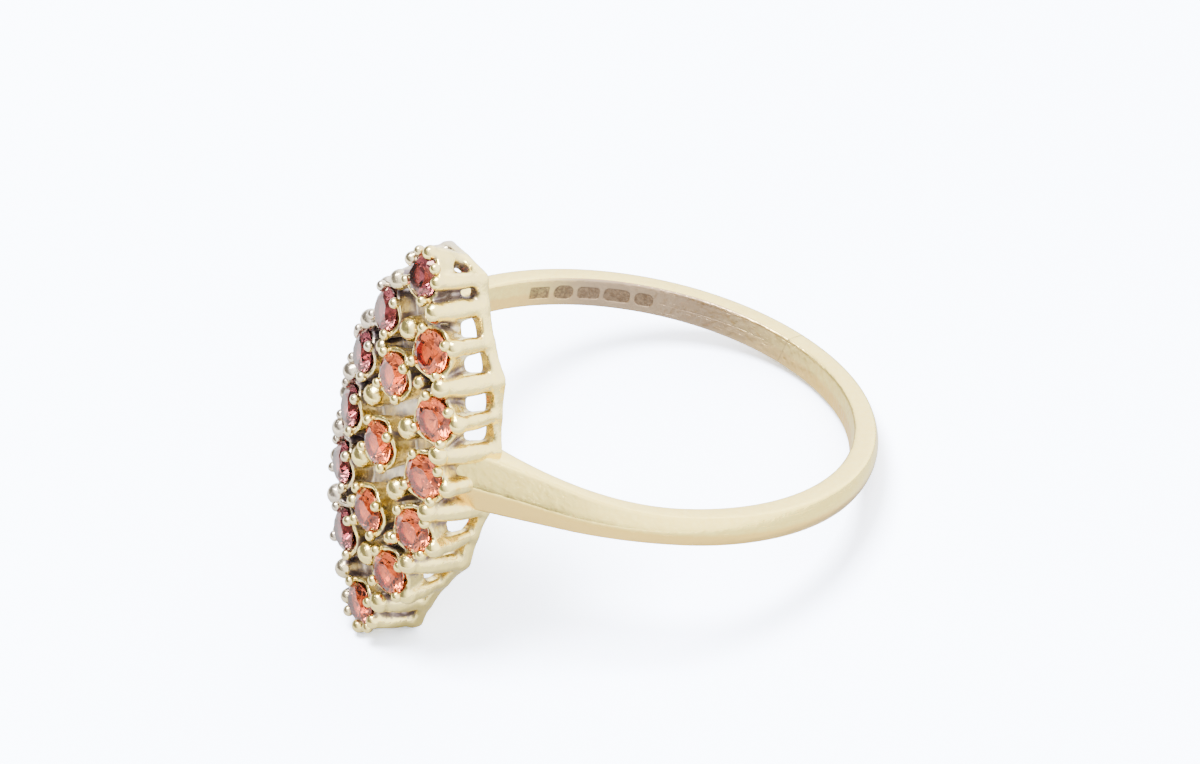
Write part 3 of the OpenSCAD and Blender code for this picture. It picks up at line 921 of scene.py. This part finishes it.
def shank_tree():
    """Geometry Nodes: a grid bent round the finger hole into the tapered band."""
    tree = bpy.data.node_groups.new("tapered band", "GeometryNodeTree")
    inputs_of(tree, Finger_radius=FINGER_R, Thickness=SHANK_T, Back_width=SHANK_W,
              Shoulder_width=SHOULDER_W, Flare_start=FLARE_START, Shoulder_height=SHOULDER_H,
              Shoulder_radius=SHOULDER_R, Shoulder_reach=HALF_W + STONE_R, Ridge_slope=RIDGE_SLOPE,
              Ridge_radius=RIDGE_R, End_angle=math.radians(17))
    tree.interface.new_socket("Band", in_out="OUTPUT", socket_type="NodeSocketGeometry")
    inside, out = tree.nodes.new("NodeGroupInput"), tree.nodes.new("NodeGroupOutput")
    size = {s.name: Term(tree, s) for s in inside.outputs if s.name}
    section = section_points()
    grid, move, real, paint, place = geometry_nodes(
        tree, "MeshGrid", "SetPosition", "RealizeInstances", "SetMaterial", "InputPosition")
    given(grid, Size_X=1, Size_Y=1, Vertices_X=ROUND_THE_BAND, Vertices_Y=len(section))
    split = tree.nodes.new("ShaderNodeSeparateXYZ")
    in_line(tree, place, split)
    u, v = Term(tree, split.outputs[0]), Term(tree, split.outputs[1])

    angle = mixed(size["End angle"], 2 * math.pi - size["End angle"], u + 0.5)
    from_head = math.pi - abs(angle - math.pi)
    across = drawn(tree, v + 0.5, [(s + 1) / 2 for s, _ in section]) * 2 - 1
    outwards = drawn(tree, v + 0.5, [o for _, o in section])

    # Half of the band's width grows towards the shoulders
    ahead = ((size["Finger radius"] + 0.6) * from_head.cos() - size["Flare start"]).most(0)
    flare = ahead / (size["Finger radius"] + size["Shoulder height"] - size["Flare start"])
    back_w, shoulder_w = size["Back width"], size["Shoulder width"]
    half_w = back_w / 2 + (shoulder_w - back_w) / 2 * flare * flare
    z = across * half_w

    # The outside falls from a ridge at the front and is round at the back
    front = (math.radians(115) - from_head).step(0, math.radians(70))
    soft = size["Ridge slope"] * size["Ridge radius"] * (1.2 - 0.6 * front)
    ridged = ((size["Ridge slope"] * z) ** 2 + soft * soft).sqrt() - soft
    drop = mixed(z * z / 1.9, ridged, front)

    # Straight shoulders lead from the round back to the two corners at the head
    big = size["Finger radius"] + size["Thickness"] - drop
    small = size["Shoulder radius"] - 0.8 * drop
    cx = size["Finger radius"] + size["Shoulder height"] - size["Shoulder radius"]
    cy = size["Shoulder reach"] - size["Shoulder radius"]
    far, corner_angle = (cx * cx + cy * cy).sqrt(), cy.angle_to(cx)
    lean = corner_angle + ((big - small) / far).least(1).acos()
    turn = (cy + small * lean.sin()).angle_to(cx + small * lean.cos())
    straight = big / (lean - from_head).least(1.2).cos()
    off = from_head - corner_angle
    round_corner = far * off.cos() + (small * small - (far * off.sin()) ** 2).most(0).sqrt()
    shoulder = mixed(round_corner, straight, from_head.above(turn))
    outside = mixed(shoulder, big, from_head.above(lean))

    radius = mixed(size["Finger radius"], outside, outwards)
    x, y = radius * angle.cos(), radius * angle.sin()
    row = [weighed((x, y, z), TO_ROW[i]) * MM for i in range(3)]
    tree.links.new(vector_of(tree, *row), move.inputs["Position"])
    given(paint, Material=SHANK_GOLD)
    in_line(tree, grid, move, real, paint, out)
    return tree


shank = mesh_object("shank", [(0, 0, 0)], [], SHANK_GOLD)
bend = shank.modifiers.new("band", "NODES")
bend.node_group = shank_tree()
baked_modifier(shank, bend)
closed(shank, near=0.000002)
shank.data.polygons.foreach_set("use_smooth", [True] * len(shank.data.polygons))


# Garnets: round brilliants cut plane by plane

def brilliant():
    """Vertices and faces of a stone with its table towards +Z."""
    r, girdle, table = STONE_R, 0.03, 0.265
    crown, star, upper, pavilion, lower = map(math.radians, (33.5, 21, 40, 40, 41.6))
    bm = bmesh.new()
    bmesh.ops.create_cone(bm, cap_ends=True, segments=64, radius1=r, radius2=r, depth=2.4)

    def slice_off(way, point):
        geom = bm.verts[:] + bm.edges[:] + bm.faces[:]
        cut = bmesh.ops.bisect_plane(bm, geom=geom, plane_co=point, plane_no=way,
                                     clear_outer=True, dist=1e-6)
        rim = [e for e in cut["geom_cut"] if isinstance(e, bmesh.types.BMEdge)]
        if rim:
            bmesh.ops.holes_fill(bm, edges=rim)

    def facets(count, start, lean, point_r, point_z, up, spin=0.0):
        for i in range(count):
            a = math.radians(start + 360 / count * i)
            flat, b = math.sin(lean), a + spin
            way = Vector((flat * math.cos(a), flat * math.sin(a), up * math.cos(lean)))
            slice_off(way, Vector((point_r * math.cos(b), point_r * math.sin(b), point_z)))

    slice_off(Vector((0, 0, 1)), Vector((0, 0, table)))
    table_r = (r - (table - girdle) / math.tan(crown)) * math.cos(math.radians(22.5))
    facets(8, 0, crown, r, girdle, 1)
    facets(8, 22.5, star, table_r, table, 1)
    facets(16, 11.25, upper, r, girdle, 1, spin=math.radians(11.25))
    facets(8, 0, pavilion, r, -girdle, -1)
    facets(16, 11.25, lower, r, -girdle, -1, spin=math.radians(11.25))
    bmesh.ops.remove_doubles(bm, verts=bm.verts, dist=1e-4)
    bmesh.ops.recalc_face_normals(bm, faces=bm.faces)
    bm.verts.ensure_lookup_table()
    verts = np.array([v.co[:] for v in bm.verts])
    faces = [[v.index for v in f.verts] for f in bm.faces]
    bm.free()
    return verts, faces


cut_verts, cut_faces = brilliant()
for i, p in enumerate(STONES):
    east, north, way = stone_axes(p)
    a = rng.uniform(0, math.pi / 4)
    x_axis = math.cos(a) * east + math.sin(a) * north
    node = "garnet_%02d" % (i + 1)
    axes = np.stack([x_axis, np.cross(way, x_axis), way])
    placed_verts = at_girdle(p) + cut_verts @ axes
    stone = mesh_object("faceted_" + node, placed_verts, cut_faces, GARNET, smooth=False)
    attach(stone, "root")
    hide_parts(node)

for piece in (head, beads, shank):
    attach(piece, "root")
    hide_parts("ring_mount")


# Floor, lights and camera

FLOOR_HALF, low_z = 0.6, cad_box[0][2]
me = bpy.data.meshes.new("floor")
rim = [(x * FLOOR_HALF, y * FLOOR_HALF, low_z) for x, y in ((-1, -1), (1, -1), (1, 1), (-1, 1))]
me.from_pydata(rim, [], [(0, 1, 2, 3)])
me.materials.append(FLOOR)
floor = new_object("floor", me)

softbox = bpy.data.lights.new("overhead", "AREA")
softbox.shape = "RECTANGLE"
softbox.size, softbox.size_y, softbox.energy = 0.13, 0.13, 3.2
lamp = new_object("overhead", softbox)
lamp.location = (-0.04, 0.05, 0.29)
lamp.rotation_euler = (-lamp.location).to_track_quat("-Z", "Y").to_euler()

world = bpy.data.worlds.new("studio")
world.use_nodes = True
sky = world.node_tree
background = given(sky.nodes["Background"], Color=(0.98, 0.99, 1.0, 1))
directions = sky.nodes.new("ShaderNodeTexCoord")


def toward(x, y, z):
    """How far a direction of the studio turns to (x, y, z), from -1 to 1."""
    facing = sky.nodes.new("ShaderNodeVectorMath")
    facing.operation = "DOT_PRODUCT"
    facing.inputs[1].default_value = Vector((x, y, z)).normalized()
    sky.links.new(directions.outputs["Generated"], facing.inputs[0])
    return Term(sky, facing.outputs["Value"])


# The studio is bright on one side, with a low card of light that the band's flank shows
FAINT, BRIGHT, LOW_CARD = 0.4, 4.6, 3.0
bright_side = BRIGHT * toward(0.6, -0.6, 0.55).step(-0.35, 0.95)
low_card = LOW_CARD * toward(0.67, 0.7, 0.25).step(0.72, 0.97)
(FAINT + bright_side + low_card).feeds(background.inputs["Strength"])
bpy.context.scene.world = world

# The camera looks at the ring along the photograph's direction, with its roll
DISTANCE, PX_PER_MM, SENSOR, PICTURE_W = 450.0, 26.55, 36, 1200
back = TURN.to_3x3() @ Vector((0.5305, 0.7012, 0.4763)).normalized()
right = ((TURN.to_3x3() @ Vector((-0.1255, -0.4908, 0.8622))).cross(back)).normalized()
up = back.cross(right)
lens = bpy.data.cameras.new("camera")
lens.sensor_width = SENSOR
lens.lens = SENSOR * PX_PER_MM * DISTANCE / PICTURE_W
lens.clip_start, lens.clip_end = 0.01, 5
camera = new_object("camera", lens)
aside = (-29.9 * right + 23.2 * up) / PX_PER_MM
facing = Matrix((right, up, back)).transposed().to_4x4()
camera.matrix_world = Matrix.Translation((aside + back * DISTANCE) * MM) @ facing
bpy.context.scene.camera = camera
